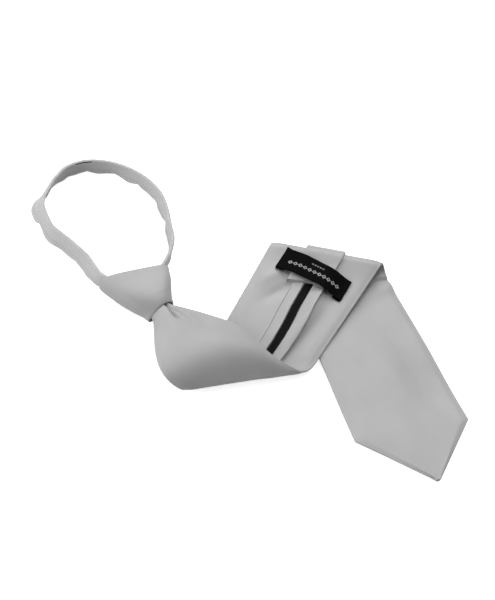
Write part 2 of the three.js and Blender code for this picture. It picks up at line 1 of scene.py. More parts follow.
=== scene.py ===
"""A silver satin zipper tie that lies folded in a zigzag, dressed round its solids.

The blade is a strip with a taper. In its flat pattern s runs along it, from the corners of the tip
towards the knot, and t runs across it. A share across the blade is t over its half width. Lengths
are in millimetres, and the meshes are made in metres.
"""

import json
import math

import bpy
import numpy as np
from mathutils import Matrix, Vector

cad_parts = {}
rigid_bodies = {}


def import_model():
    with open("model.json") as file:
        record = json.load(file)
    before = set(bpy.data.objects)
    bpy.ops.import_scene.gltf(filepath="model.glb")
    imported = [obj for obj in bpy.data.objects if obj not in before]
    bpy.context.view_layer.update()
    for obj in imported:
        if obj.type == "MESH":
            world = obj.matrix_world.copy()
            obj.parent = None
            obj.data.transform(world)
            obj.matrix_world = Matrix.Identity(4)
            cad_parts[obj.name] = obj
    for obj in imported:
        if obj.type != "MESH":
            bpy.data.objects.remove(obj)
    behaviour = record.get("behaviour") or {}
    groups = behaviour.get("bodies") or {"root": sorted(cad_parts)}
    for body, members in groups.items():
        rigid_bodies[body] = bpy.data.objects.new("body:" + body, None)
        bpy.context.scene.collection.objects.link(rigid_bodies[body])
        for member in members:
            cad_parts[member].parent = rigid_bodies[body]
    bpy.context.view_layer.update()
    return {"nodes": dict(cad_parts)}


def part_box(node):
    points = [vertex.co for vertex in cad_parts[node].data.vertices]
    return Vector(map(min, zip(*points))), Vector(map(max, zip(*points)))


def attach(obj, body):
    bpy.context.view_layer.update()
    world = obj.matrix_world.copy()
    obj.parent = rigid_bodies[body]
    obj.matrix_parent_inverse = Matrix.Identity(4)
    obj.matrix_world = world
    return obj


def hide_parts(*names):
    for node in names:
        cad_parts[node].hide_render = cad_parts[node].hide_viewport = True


MM = 0.001
GAP = 0.3

# Blade, as in the solids
BLADE_WIDTH = 85
BLADE_TAPER = 0.085
BLADE_THICKNESS = 3
BLADE_EDGE_SHARE = 0.5
BLADE_RIM = 0.7
TIP_DEPTH = 41.5
TIP_BLUNT = 0.9
BLADE_LENGTH = 379.7
BLADE_TUCK = 4
TIP_PLACE = {"x": 131.3, "y": -60.8, "heading": 127.17}
TIP_REST = BLADE_THICKNESS / 2
REST_START = 15

# Folds of the strip, as in the solids. at: the crease on the strip's axis. slope: how the crease
# leans across the strip. lead: how far before the crease the strip starts to bend. radius: of the
# roll. lift and over: degrees that the strip rises before the roll and turns back after it, over
# their lengths. end: the whole turn in degrees.
UPPER_FOLD = {
    "at": 150, "slope": 0.438, "lead": 26, "radius": 5.5,
    "lift": 12, "lift_length": 18, "over": 14, "over_length": 18, "end": 186,
}
LOWER_FOLD = {
    "at": 287.7, "slope": 1.007, "lead": 26, "radius": 10,
    "lift": 3.76, "lift_length": 14, "over": 20.66, "over_length": 30, "end": 180,
}
# Height of the lower fold's roll as shares of its radius, and half the length of that roll
LOWER_ROLL = {"left": 0.801, "crown": 0.175, "right": 0.338}
ROLL_HALF_SPAN = 0.541 * BLADE_WIDTH

# The blade's free top section, from the lower fold to the knot's mouth, as in the solids: its first
# and last rows, the pull of its surface at either end as shares of the distance, and the angles in
# radians at which it enters the mouth
FREE_START = 298.35
FREE_SKEW = -13.4
PULL_FROM_FOLD = {"left": 1.393, "right": 1.657, "crown": 0.372}
PULL_INTO_KNOT = {"left": 0.406, "right": 2.396, "crown": 0.074}
ENTRY_AZIMUTH = {"left": 2.412, "right": 3.22, "crown": -0.09}
ENTRY_ELEVATION = {"left": -0.281, "right": -0.136, "crown": -0.118}
# Pleat that the mouth gathers into the blade: its place and width as shares across the blade. It
# has its full depth a little before the mouth, and what lies on the blade's back makes room for it.
PLEAT = {"at": 0.2, "width": 0.13, "depth": 2.2, "length": 26}
PLEAT_FULL_BEFORE = 3
PLEAT_ROOM_BEFORE = 8

# One sharp crease, soft valleys and a swell that run from the knot's mouth down the blade's front.
# share: where each is across the blade. bend: how far it turns aside at the mouth. depth: a swell's
# is negative. start and end: the lengths from the mouth between which it shows.
PLEAT_BEND_LENGTH = 3.5
PLEAT_EASE = 5
PLEAT_LINES = (
    {"share": -0.14, "bend": 0.4, "width": 0.055, "depth": 2.3, "start": -5, "end": 21},
    {"share": -0.1, "bend": 0.34, "width": 0.11, "depth": 0.9, "start": 5, "end": 34},
    {"share": -0.31, "bend": 0.1, "width": 0.1, "depth": 1.1, "start": 8, "end": 42},
    {"share": -0.21, "bend": 0.2, "width": 0.07, "depth": -0.9, "start": 8, "end": 38},
)

# Tail and strap, as in the solids
TAIL_WIDTH = 25
TAIL_THICKNESS = 1.9
TAIL_START = 188
TAIL_END = 72
TAIL_POINT = 12
TAIL_BLUNT = 0.12
TAIL_CENTRE = -0.5
COVER_END_THICKNESS = 3.2
COVER_END_LENGTH = 22
STRAP_START = TAIL_START + GAP
STRAP_THICKNESS = 1.6
ZIP_WIDTH = 7.2
COVER_WIDTH = 6.2
COVER_REACH = 0.5
ZIP_TUCK = 6
# Drift of the strap's centre line across the blade, along its way from the tail to the knot, as a
# share of the zip's width
STRAP_DRIFT_WAY = (0, 0.12, 0.22, 0.3, 0.42, 0.65, 1)
STRAP_DRIFT_OFFSET = (0.25, 0.32, 0.5, 0.53, 0.4, 0.28, 0.14)

# Label: its place and size are as in the solids, but it is thinner and its arch is higher and longer.
# The arch comes down beside the tail between two shares of the tail's width from its middle.
LABEL_LENGTH = 50.4
LABEL_WIDTH = 19
LABEL_AT = 178.6
LABEL_LEAN = -0.04
LABEL_CENTRE = 0.75
LABEL_THICKNESS = 0.7
LABEL_ARCH = 4.9
LABEL_ARCH_SIDES = (0.3, 1.08)

# Knot, as in the solids
KNOT_MOUTH = {"x": -50.3, "y": -43, "azimuth": 61}
KNOT_TOP = {"x": -76, "y": -23.5, "azimuth": 41}
KNOT_WALL = 2.4
KNOT_RIM_WALL = 0.9
MOUTH_PLAY = 0.8
KNOT_SET_BACK = 0.8
KNOT_TOP_HALF = 24.8
KNOT_HEIGHT = 18.5
BLADE_MOUTH_HALF = 8.8
BLADE_MOUTH_SIDE = 6
BLADE_MOUTH_CROWN = 12.2
MOUTH_HALF = BLADE_MOUTH_HALF + BLADE_THICKNESS / 2 + MOUTH_PLAY + KNOT_RIM_WALL
MOUTH_HEIGHT = BLADE_MOUTH_CROWN + BLADE_THICKNESS / 2 + GAP + KNOT_RIM_WALL
# Along the knot's way from the mouth to the top: its spread towards the top's half width, its shift
# aside as a share of that, its rise towards the full height and its wall's towards the full wall
KNOT_WAY = (0, 0.05, 0.13, 0.27, 0.45, 0.63, 0.82, 0.94, 1)
KNOT_SPREAD = (0, 0.01, 0.06, 0.25, 0.49, 0.69, 0.87, 0.99, 1.02)
KNOT_ASIDE = (0, -0.01, -0.02, -0.04, -0.045, -0.04, -0.035, -0.03, -0.025)
KNOT_RISE = (0, 0.3, 0.62, 0.9, 1, 0.95, 0.78, 0.62, 0.52)
KNOT_THICKNESS = (0, 0.5, 1, 1, 1, 1, 1, 1, 0.75)

# Neck bands, as in the solids, but for the last point of each route: here the two bands meet
BAND_HEIGHT = 12
BAND_THICKNESS = 2.5
BAND_PINCH = 0.7
BAND_INSIDE = 12
BAND_LIFT = 2.4
BAND_REST = 0.15
LOOP_LENGTH = 106
LOOP_WIDTH = 88
SLIDER_LENGTH = 9
# Route of each band from the slider: along and across the loop, as shares of its length and width,
# and how far the upper edge leans into the loop, as a share of the height
LEFT_ROUTE = (
    (-0.075, -0.09, 0), (-0.03, -0.17, 0), (0.012, -0.222, 0), (0.06, -0.272, 0.1),
    (0.125, -0.296, 0.17), (0.213, -0.314, 0.2), (0.328, -0.365, 0.2), (0.43, -0.422, 0.2),
    (0.508, -0.462, 0.2), (0.612, -0.476, 0.3), (0.725, -0.472, 0.45), (0.785, -0.434, 0.48),
    (0.83, -0.362, 0.32), (0.898, -0.236, 0.05), (0.963, -0.114, 0), (0.989, -0.019, 0),
    (0.997, 0.0671, 0),
)
RIGHT_ROUTE = (
    (-0.075, 0.08, 0), (-0.025, 0.165, 0), (0.02, 0.232, 0), (0.056, 0.288, 0.04),
    (0.129, 0.374, 0.04), (0.229, 0.45, 0.04), (0.325, 0.48, 0.03), (0.461, 0.522, 0),
    (0.576, 0.544, 0), (0.673, 0.532, 0), (0.759, 0.494, 0), (0.856, 0.414, 0),
    (0.925, 0.32, 0), (0.966, 0.228, 0), (0.988, 0.147, 0), (0.997, 0.0673, 0),
)

# Camera: its angles, in degrees, its distance from the layout's origin, and its lens
CAMERA_ELEVATION = 47
CAMERA_ROLL = 20
CAMERA_DISTANCE = 1292
CAMERA_LENS = 76
CAMERA_SENSOR = 24

UP = np.array([0.0, 0.0, 1.0])
# Steps in the pattern, over which slopes and widths of the surface are measured
SLOPE_STEP = 0.25
WIDTH_STEP = 0.5
LEAVING_STEP = 0.5
LEAST_WIDTH = 0.01


def mix(a, b, share):
    return a + (b - a) * share


def smooth(x, low, high):
    share = np.clip((x - low) / (high - low), 0, 1)
    return share * share * (3 - 2 * share)


def span_value(span, share):
    """From left to right with a crown between them."""
    return mix(span["left"], span["right"], share) + 4 * span["crown"] * share * (1 - share)


def unit(v):
    return v / np.linalg.norm(v, axis=-1, keepdims=True)


def level(angle):
    return np.array([math.cos(angle), math.sin(angle), 0.0])


# The blade's surface

def half_width(s):
    narrow = BLADE_WIDTH / 2 * (1 + s / TIP_DEPTH)
    return np.where(s < 0, narrow, (BLADE_WIDTH - BLADE_TAPER * s) / 2)


def bend(arcs, u):
    """Place and slope of a strip that bends by arcs, at the distance u along it."""
    h = np.minimum(u, 0.0)
    z = np.zeros_like(h)
    angle = np.zeros_like(h)
    left = np.maximum(u, 0.0)
    for length, turn in arcs:
        run = np.minimum(left, length)
        following = angle + turn * run / length
        radius = length / turn
        h = h + (np.sin(following) - np.sin(angle)) * radius
        z = z - (np.cos(following) - np.cos(angle)) * radius
        angle = following
        left = left - run
    return h + left * np.cos(angle), z + left * np.sin(angle), angle


class Crease:
    """Directions across and along a fold's crease in the pattern, and where the fold starts."""

    def __init__(self, fold):
        size = math.hypot(fold["slope"], 1)
        self.across = (-fold["slope"] / size, 1 / size)
        self.along = (self.across[1], -self.across[0])
        self.start = (fold["at"] - self.along[0] * fold["lead"], -self.along[1] * fold["lead"])
        roll = math.radians(fold["end"] - fold["lift"] + fold["over"])
        self.arcs = (
            (fold["lift_length"], math.radians(fold["lift"])),
            (roll * fold["radius"], roll),
            (fold["over_length"], math.radians(-fold["over"])),
        )

    def local(self, s, t):
        ds = s - self.start[0]
        dt = t - self.start[1]
        return ds * self.along[0] + dt * self.along[1], ds * self.across[0] + dt * self.across[1]


UPPER = Crease(UPPER_FOLD)
LOWER = Crease(LOWER_FOLD)
HEADING = math.radians(TIP_PLACE["heading"])
STRIP_ALONG = level(HEADING)
STRIP_ACROSS = level(HEADING - math.pi / 2)
UPPER_ALONG = STRIP_ALONG * UPPER.along[0] + STRIP_ACROSS * UPPER.along[1]
UPPER_ACROSS = STRIP_ALONG * UPPER.across[0] + STRIP_ACROSS * UPPER.across[1]
UPPER_START = STRIP_ALONG * UPPER.start[0] + STRIP_ACROSS * UPPER.start[1]
FOLD_REST = TIP_REST + TAIL_THICKNESS + GAP


def upper_surface(s, t):
    """The lying section and the upper fold: points and normals."""
    u, v = UPPER.local(s, t)
    h, z, angle = bend(UPPER.arcs, u)
    rest = mix(TIP_REST, FOLD_REST, smooth(s, REST_START, TAIL_END))
    point = np.array([TIP_PLACE["x"], TIP_PLACE["y"], 0.0]) + UPPER_START
    point = point + v[..., None] * UPPER_ACROSS + h[..., None] * UPPER_ALONG
    point = point + (z + rest)[..., None] * UP
    normal = -np.sin(angle)[..., None] * UPPER_ALONG + np.cos(angle)[..., None] * UP
    return point, normal


def folded_surface(s, t):
    """The lower fold rolls the strip back over its middle section."""
    u, v = LOWER.local(s, t)
    h, z, _ = bend(LOWER.arcs, u)
    flat_s = LOWER.start[0] + v * LOWER.across[0] + h * LOWER.along[0]
    flat_t = LOWER.start[1] + v * LOWER.across[1] + h * LOWER.along[1]
    point, normal = upper_surface(flat_s, flat_t)
    share = np.clip((v + ROLL_HALF_SPAN) / (2 * ROLL_HALF_SPAN), 0, 1)
    return point - normal * (z * span_value(LOWER_ROLL, share))[..., None]


def row_point(axis_s, slope, share):
    """The point of a skewed row that crosses the axis at axis_s."""
    s = (axis_s - slope * share * BLADE_WIDTH / 2) / (1 - slope * share * BLADE_TAPER / 2)
    s = np.where(axis_s < 0, axis_s, s)
    return s, share * half_width(s)


def knot_frame(way):
    azimuth = math.radians(mix(KNOT_MOUTH["azimuth"], KNOT_TOP["azimuth"], way))
    x = mix(KNOT_MOUTH["x"], KNOT_TOP["x"], way)
    y = mix(KNOT_MOUTH["y"], KNOT_TOP["y"], way)
    return np.array([x, y, 0.0]), level(azimuth)


KNOT_AXIS = unit(knot_frame(1)[0] - knot_frame(0)[0])


def mouth_arch(share):
    """The arch that the knot's mouth gathers the blade into."""
    centre, across = knot_frame(0)
    rise = (BLADE_MOUTH_CROWN - BLADE_MOUTH_SIDE) * (1 - share * share)
    point = centre + (share * BLADE_MOUTH_HALF)[..., None] * across
    return point + (BLADE_MOUTH_SIDE + rise)[..., None] * UP


def entry_direction(half):
    azimuth = span_value(ENTRY_AZIMUTH, half)
    elevation = span_value(ENTRY_ELEVATION, half)
    x = np.cos(azimuth) * np.cos(elevation)
    y = np.sin(azimuth) * np.cos(elevation)
    return np.stack([x, y, np.sin(elevation)], axis=-1)


def free_surface(s, share):
    """The free top section: one smooth patch from the roll to the mouth, then on into the knot."""
    half = (share + 1) / 2
    start = row_point(FREE_START + 0 * share, LOWER_FOLD["slope"], share)
    before = row_point(FREE_START - LEAVING_STEP + 0 * share, LOWER_FOLD["slope"], share)
    end = BLADE_LENGTH + FREE_SKEW * share
    origin = folded_surface(*start)
    leaving = unit(origin - folded_surface(*before))
    target = mouth_arch(share)
    span = np.linalg.norm(target - origin, axis=-1)
    w = np.clip((s - start[0]) / (end - start[0]), 0, 1)
    pull_from = span * span_value(PULL_FROM_FOLD, half) * (w**3 - 2 * w**2 + w)
    pull_to = span * span_value(PULL_INTO_KNOT, half) * (w**3 - w**2)
    point = origin * (2 * w**3 - 3 * w**2 + 1)[..., None] + leaving * pull_from[..., None]
    point = point + target * (3 * w**2 - 2 * w**3)[..., None] + entry_direction(half) * pull_to[..., None]
    return point + np.maximum(s - end, 0)[..., None] * KNOT_AXIS


def blade_middle(s, t):
    share = np.clip(t / np.maximum(half_width(s), LEAST_WIDTH), -1, 1)
    start = row_point(FREE_START + 0 * share, LOWER_FOLD["slope"], share)[0]
    return np.where((s <= start)[..., None], folded_surface(s, t), free_surface(s, share))


# Soft dents and swells of the cloth: s and t of the middle, the turn of the long side from the
# strip's axis in degrees, half length, half width, and the depth towards the blade's back
DENTS = (
    (203, -13, -24, 14, 4.2, -1.9),
    (196, -24, -24, 14, 4.5, 1.3),
    (228, 9, -6, 32, 6, 1.8),
    (230, 17.2, -6, 30, 4.6, -1.8),
    (122, 34, 88, 13, 1.9, 1.6),
    (114, 30, 76, 16, 4.5, -1.0),
    (32, 25, -14, 30, 11, 1.5),
    (50, 3, -14, 34, 12, -0.7),
    (66, -12, 8, 40, 11, -0.4),
    (6, -26, -8, 30, 10, -0.5),
    (352, 12, 20, 15, 6, 1.4),
)


def relief(s, t):
    """How far the cloth is pushed towards its back."""
    total = np.zeros_like(s)
    for middle_s, middle_t, turn, length, width, depth in DENTS:
        c, d = math.cos(math.radians(turn)), math.sin(math.radians(turn))
        ds = s - middle_s
        dt = t - middle_t
        x = (ds * c + dt * d) / length
        y = (dt * c - ds * d) / width
        total = total + depth * np.exp(-(x * x) - y * y)
    return total


def blade_frame(s, t):
    """A point in the middle of the blade's thickness, with the directions across and out of it."""
    e = SLOPE_STEP
    along = unit(blade_middle(s + e, t) - blade_middle(s - e, t))
    across = unit(blade_middle(s, t + e) - blade_middle(s, t - e))
    normal = unit(np.cross(across, along))
    point = blade_middle(s, t) - normal * relief(s, t)[..., None]
    return point, across, normal


def gather(s, t):
    """Real width for each millimetre of pattern across the blade."""
    e = WIDTH_STEP
    return np.linalg.norm(blade_middle(s, t + e) - blade_middle(s, t - e), axis=-1) / (2 * e)


# How the mesh's rows lean across the strip: square to it at the tip, and along each fold's crease
ROW_LEANS = (
    (0, 0), (60, 0),
    (UPPER_FOLD["at"] - 40, UPPER_FOLD["slope"]), (UPPER_FOLD["at"] + 40, UPPER_FOLD["slope"]),
    (LOWER_FOLD["at"] - 43, LOWER_FOLD["slope"]), (330, LOWER_FOLD["slope"]),
)


def row_lean(axis_s):
    places, slopes = zip(*ROW_LEANS)
    return np.interp(axis_s, places, slopes)


def spaced_rows(runs, end):
    """Rows in runs, each with the place where it starts and its step."""
    stops = [start for start, _ in runs[1:]] + [end]
    return [np.arange(start, stop, step) for (start, step), stop in zip(runs, stops)]


# Closed bodies from rings of points

def section(columns, rim_steps):
    """A flat section with round sides: the flat share, the reach past it and the height, all -1 to 1.

    Its first and middle points are the ends of its two sides, so points mirror each other in a row.
    """
    quarter = [math.radians(180 - 90 * k / rim_steps) for k in range(rim_steps)]
    left_up = [(-1, math.cos(a), math.sin(a)) for a in quarter]
    front = [(u, 0, 1) for u in columns]
    right = [(1, -math.cos(a), math.sin(a)) for a in reversed(quarter)]
    lower = [(x, out, -v) for x, out, v in reversed(left_up + front + right[:-1])]
    return np.array(left_up + front + right + lower[:-1])


def even_section(columns, rim_steps):
    return section(np.linspace(-1, 1, columns), rim_steps)


def pair_faces(first, size):
    """Faces that close a ring of mirrored points."""
    faces = []
    for j in range(size // 2):
        a, b = first + j, first + j + 1
        c, d = first + size - j - 1, first + (size - j) % size
        corners = list(dict.fromkeys((a, b, c, d)))
        if len(corners) > 2:
            faces.append(tuple(corners))
    return faces


def ring_faces(rows, size, looped):
    faces = []
    for i in range(rows if looped else rows - 1):
        here = i * size
        following = (i + 1) % rows * size
        for j in range(size):
            k = (j + 1) % size
            faces.append((here + j, here + k, following + k, following + j))
    return faces


def outward(points, faces):
    """The same faces, turned over if they point into the body."""
    total = 0.0
    for face in faces:
        for k in range(1, len(face) - 1):
            total += np.dot(points[face[0]], np.cross(points[face[k]], points[face[k + 1]]))
    return faces if total > 0 else [tuple(reversed(face)) for face in faces]


def make_body(name, rings, pattern, looped=False):
    """A closed mesh from rings of points in the layout's frame. Its weave follows the pattern."""
    rows, size, _ = rings.shape
    points = np.maximum(rings.reshape(-1, 3), (-np.inf, -np.inf, 0))
    faces = ring_faces(rows, size, looped)
    if not looped:
        faces += pair_faces(0, size)
        faces += [tuple(reversed(face)) for face in pair_faces((rows - 1) * size, size)]
    faces = outward(points, faces)
    mesh = bpy.data.meshes.new(name)
    mesh.from_pydata(((points + SHIFT) * MM).tolist(), [], faces)
    mesh.shade_smooth()
    layer = mesh.attributes.new("pattern", "FLOAT_VECTOR", "POINT")
    layer.data.foreach_set("vector", pattern.reshape(-1, 3).astype(np.float32).ravel())
    body = bpy.data.objects.new(name, mesh)
    bpy.context.scene.collection.objects.link(body)
    return body


def dress(body, material, slot, *nodes):
    """Finishes a piece: its material, the nodes that it stands for, and its body. The slot is not used.
    """
    body.data.materials.append(material)
    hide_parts(*nodes)
    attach(body, "root")
    return body


# The blade

BLADE_COLUMNS = 49
EDGE_COLUMNS = np.array([0.985, 0.97, 0.94])
PLEAT_COLUMNS = np.linspace(-0.5, 0.45, 76)
TIP_ROWS = 24
# Runs of rows over the lying and folded sections: where each starts on the axis, and its step
LYING_RUNS = (
    (2.0, 2.2),
    (UPPER_FOLD["at"] - 26, 0.8),
    (UPPER_FOLD["at"] + 24, 2.0),
    (LOWER_FOLD["at"] - 36, 1.1),
)
FREE_ROWS = 72
TUCKED_ROWS = 4
# From this share across it, the blade grows thinner towards its edges
EDGE_START = 0.82


def blade_columns():
    """Shares across the blade, closer at its edges and at the pleat."""
    even = np.linspace(-1, 1, BLADE_COLUMNS)
    shares = np.concatenate([even, EDGE_COLUMNS, -EDGE_COLUMNS, PLEAT_COLUMNS])
    return np.unique(np.round(shares, 4))


def blade_rows():
    """Where the rows cross the axis, up to the free section."""
    tip = np.linspace(-TIP_DEPTH + TIP_BLUNT, 0, TIP_ROWS)
    return np.concatenate([tip, *spaced_rows(LYING_RUNS, FREE_START)])


def blade_grid(share):
    """Pattern places of all rows at the shares of a section."""
    rows = blade_rows()[:, None]
    placed = [row_point(rows + 0 * share, row_lean(rows), share + 0 * rows)]
    w = np.linspace(0, 1, FREE_ROWS)[:, None]
    start = row_point(FREE_START + 0 * share, LOWER_FOLD["slope"], share)[0]
    end = BLADE_LENGTH + FREE_SKEW * share
    free = mix(start, end, w)
    placed.append((free, share * half_width(free)))
    tucked = end + BLADE_TUCK * np.linspace(1 / TUCKED_ROWS, 1, TUCKED_ROWS)[:, None]
    placed.append((tucked, share * half_width(tucked)))
    return tuple(np.concatenate([grid[k] for grid in placed]) for k in (0, 1))


def pleat_depth(s, share):
    end = BLADE_LENGTH + FREE_SKEW * share
    near = smooth(s, end - PLEAT["length"], end - PLEAT_FULL_BEFORE)
    return PLEAT["depth"] * near * np.exp(-(((share - PLEAT["at"]) / PLEAT["width"]) ** 2))


def pleat_lines(s, share):
    """How deep the valleys at the mouth are pressed into the blade's front."""
    run = BLADE_LENGTH + FREE_SKEW * share - s
    total = np.zeros_like(run)
    for line in PLEAT_LINES:
        middle = line["share"] + line["bend"] * np.exp(-np.maximum(run, 0) / PLEAT_BEND_LENGTH)
        width = line["width"] * (1 + np.clip(run / line["end"], 0, 1))
        shown = smooth(run, line["start"], line["start"] + PLEAT_EASE)
        shown = shown * (1 - smooth(run, line["end"] / 2, line["end"]))
        total = total + line["depth"] * shown * np.exp(-(((share - middle) / width) ** 2))
    return total


def make_blade():
    share, out, side = section(blade_columns(), rim_steps=3).T
    s, t = blade_grid(share)
    point, across, normal = blade_frame(s, t)
    thinning = 1 - (1 - BLADE_EDGE_SHARE) * smooth(np.abs(share), EDGE_START, 1) ** 2
    offset = side * thinning * BLADE_THICKNESS / 2 - pleat_depth(s, share)
    offset = offset - pleat_lines(s, share) * (side > 0)
    rings = point + normal * offset[..., None] + across * (out * BLADE_RIM)[:, None]
    pattern = np.stack([s, t, side + 0 * s], axis=-1)
    return make_body("satin_blade", rings, pattern)


# What lies on the blade's back

# The least half width of a ribbon's flat part, where it runs out in a point
LEAST_HALF = 0.05
TAIL_RIM = 0.8
# Runs of the tail's rows, from its folded end: where each starts on the axis, and its step
TAIL_RUNS = (
    (TAIL_START, -0.9),
    (UPPER_FOLD["at"] + 20, -0.5),
    (UPPER_FOLD["at"] - 18, -1.5),
)


def pleat_room(s):
    """How far the ribbons on the blade's back keep off it, under the pleat."""
    end = BLADE_LENGTH - PLEAT_ROOM_BEFORE
    return (PLEAT["depth"] + 2 * GAP) * smooth(s, end - PLEAT["length"], end)


def ribbon(axis_s, centre, half, thickness, profile, rim, foot=GAP):
    """Rings of a ribbon on the blade's back, which crosses the axis at axis_s.

    half, thickness, centre and foot are one value for each row, or one for all.
    """
    share, out, side = profile.T
    rows = axis_s[:, None]
    centre, half, thickness, foot = (
        np.broadcast_to(np.asarray(value, float).reshape(-1, 1), rows.shape)
        for value in (centre, half, thickness, foot)
    )
    lean = row_lean(rows) * (1 - smooth(rows, FREE_START, BLADE_LENGTH))
    x = share * np.maximum(half - rim, LEAST_HALF) + out * np.minimum(rim, half)
    t = centre + x / gather(rows + 0 * centre, centre)
    s = rows - lean * t
    point, _, normal = blade_frame(s, t)
    y = foot + thickness * (0.5 - 0.5 * side)
    depth = BLADE_THICKNESS / 2 + pleat_room(rows) + y
    pattern = np.stack([rows + 0 * t, x, side + 0 * t], axis=-1)
    return point - normal * depth[..., None], pattern


def raise_ribbon(rings, rows, centre, height):
    """Lifts the points of a ribbon off the blade's back, each by its own height."""
    _, _, normal = blade_frame(rows[:, None] + 0 * height, centre[:, None] + 0 * height)
    return rings - normal * height[..., None]


def make_tail():
    """The narrow end of the tie: it ends in a blunt point under the blade and in a thick fold above."""
    rows = np.concatenate([*spaced_rows(TAIL_RUNS, TAIL_END), [TAIL_END]])
    point = np.clip((rows - TAIL_END) / TAIL_POINT + TAIL_BLUNT, 0, 1)
    folded = smooth(rows, TAIL_START - COVER_END_LENGTH, TAIL_START - COVER_END_LENGTH / 2)
    thickness = mix(TAIL_THICKNESS, COVER_END_THICKNESS, folded)
    profile = even_section(25, rim_steps=3)
    rings, pattern = ribbon(rows, TAIL_CENTRE, TAIL_WIDTH / 2 * point, thickness, profile, TAIL_RIM)
    return make_body("satin_tail", rings, pattern)


def strap_centre(rows):
    way = np.clip((rows - STRAP_START) / (BLADE_LENGTH - STRAP_START), 0, 1)
    return np.interp(way, STRAP_DRIFT_WAY, STRAP_DRIFT_OFFSET) * ZIP_WIDTH


# The visible covers close over the zip, so less of it shows than its solid holds, and the middle of
# what shows is a little to the left
ZIP_SHOWN = 5.2
ZIP_ASIDE = -0.4
# The tape lies lower than the covers, and its coil stands up from it
ZIP_LOWER = 0.5
ZIP_RIM = 0.3
ZIP_COLUMNS = (-1, -0.7, -0.46, -0.4, -0.3, -0.16, -0.03, 0.03, 0.16, 0.3, 0.4, 0.46, 0.7, 1)
TOOTH_PITCH = 1.2
TOOTH_HEIGHT = 0.18
ROWS_PER_TOOTH = 4
COIL_HALF = 1.5
COIL_RISE = 0.25
# The third number of a ribbon's pattern is below this on its outer face
OUTER_FACE = -0.9
# How far each cover's top is raised at its inner and outer edge, and how high its foot is: the left
# one is sewn flat, so its outer edge sinks into the blade. Its top rises over COVER_EASE.
COVERS = {
    -1: {"inner": 0.3, "outer": -1.4, "foot": -0.18},
    1: {"inner": 0.1, "outer": 2.8, "foot": 0.05},
}
COVER_EASE = 12
COVER_RIM = 0.6
COVER_STEP = 1.0


def make_zip():
    """The closed zip: woven tape with a coil along its middle."""
    rows = np.arange(STRAP_START, BLADE_LENGTH + ZIP_TUCK, TOOTH_PITCH / ROWS_PER_TOOTH)
    profile = section(ZIP_COLUMNS, rim_steps=2)
    centre = strap_centre(rows) + ZIP_ASIDE
    thickness = STRAP_THICKNESS - ZIP_LOWER
    rings, pattern = ribbon(rows, centre, ZIP_SHOWN / 2, thickness, profile, ZIP_RIM)
    x = pattern[..., 1]
    phase = 2 * math.pi * rows[:, None] / TOOTH_PITCH + np.where(x > 0, math.pi, 0)
    coil = np.sqrt(np.clip(1 - (x / COIL_HALF) ** 2, 0, 1)) * (pattern[..., 2] < OUTER_FACE)
    height = coil * (COIL_RISE + TOOTH_HEIGHT * np.sin(phase))
    return make_body("zip_coil_tape", raise_ribbon(rings, rows, centre, height), pattern)


def make_cover(name, side):
    """A folded satin cover along one side of the zip: high at its inner edge or at its outer one."""
    shape = COVERS[side]
    rows = np.arange(STRAP_START, mix(FREE_START, BLADE_LENGTH, COVER_REACH), COVER_STEP)
    centre = strap_centre(rows)
    inner = ZIP_ASIDE + side * (ZIP_SHOWN / 2 + GAP)
    outer = side * (ZIP_WIDTH / 2 + GAP + COVER_WIDTH)
    half = abs(outer - inner) / 2
    middle = centre + (inner + outer) / 2 / gather(rows, centre)
    profile = even_section(13, rim_steps=4)
    rings, pattern = ribbon(rows, middle, half, STRAP_THICKNESS, profile, COVER_RIM, shape["foot"])
    outward_share = side * pattern[..., 1] / half
    swell = mix(shape["inner"], shape["outer"], (1 + outward_share) / 2) * (pattern[..., 2] < 0)
    swell = swell * smooth(rows, STRAP_START, STRAP_START + COVER_EASE)[:, None]
    return make_body(name, raise_ribbon(rings, rows, middle, swell), pattern)


def label_place(x, y, depth):
    """A point of the label: x along it, y across it, depth from the blade's back."""
    t = LABEL_CENTRE + x
    s = LABEL_AT + LABEL_LEAN * x + y
    aside = np.abs(t - TAIL_CENTRE) / TAIL_WIDTH
    arch = LABEL_ARCH * (1 - smooth(aside, *LABEL_ARCH_SIDES))
    point, _, normal = blade_frame(s, t)
    return point - normal * (BLADE_THICKNESS / 2 + arch + depth)[..., None]


# The label's ends are turned in: each shows as a short tab under it, a little nearer the knot
LABEL_RIM = 0.2
LABEL_ROW_COUNT = 120
TAB_LENGTH = 6.5
TAB_INSET = 0.6
TAB_NARROWER = 1
TAB_REACH = 1.5
TAB_THICKNESS = 0.35
TAB_ROW_COUNT = 12


def label_strip(x, width, shift, foot, thickness):
    """Rings and pattern of a flat strip of the label, with rows at x."""
    share, out, side = even_section(15, rim_steps=2).T
    x = x[:, None] + 0 * share
    y = shift + share * (width / 2 - LABEL_RIM) + out * LABEL_RIM + 0 * x
    depth = foot + thickness * (0.5 - 0.5 * side) + 0 * x
    pattern = np.stack([x, y, side + 0 * x], axis=-1)
    return label_place(x, y, depth), pattern


def make_label():
    """The woven label, with its turned-in ends as children."""
    half = LABEL_LENGTH / 2
    rows = np.linspace(-half, half, LABEL_ROW_COUNT)
    strip = label_strip(rows, LABEL_WIDTH, 0, GAP + TAB_THICKNESS, LABEL_THICKNESS)
    label = make_body("woven_label", *strip)
    for side, name in ((-1, "label_tab_left"), (1, "label_tab_right")):
        low, high = sorted((side * (half - TAB_INSET), side * (half - TAB_LENGTH)))
        rows = np.linspace(low, high, TAB_ROW_COUNT)
        strip = label_strip(rows, LABEL_WIDTH - TAB_NARROWER, TAB_REACH, GAP / 2, TAB_THICKNESS)
        make_body(name, *strip).parent = label
    return label


# The knot

# The visible knot closes round the blade: how much narrower and lower its mouth is than the solid's,
# and the length, as a share of the knot, over which it widens into the solid's shape
MOUTH_SNUG = {"half": 0.85, "height": 0.4, "length": 0.62}
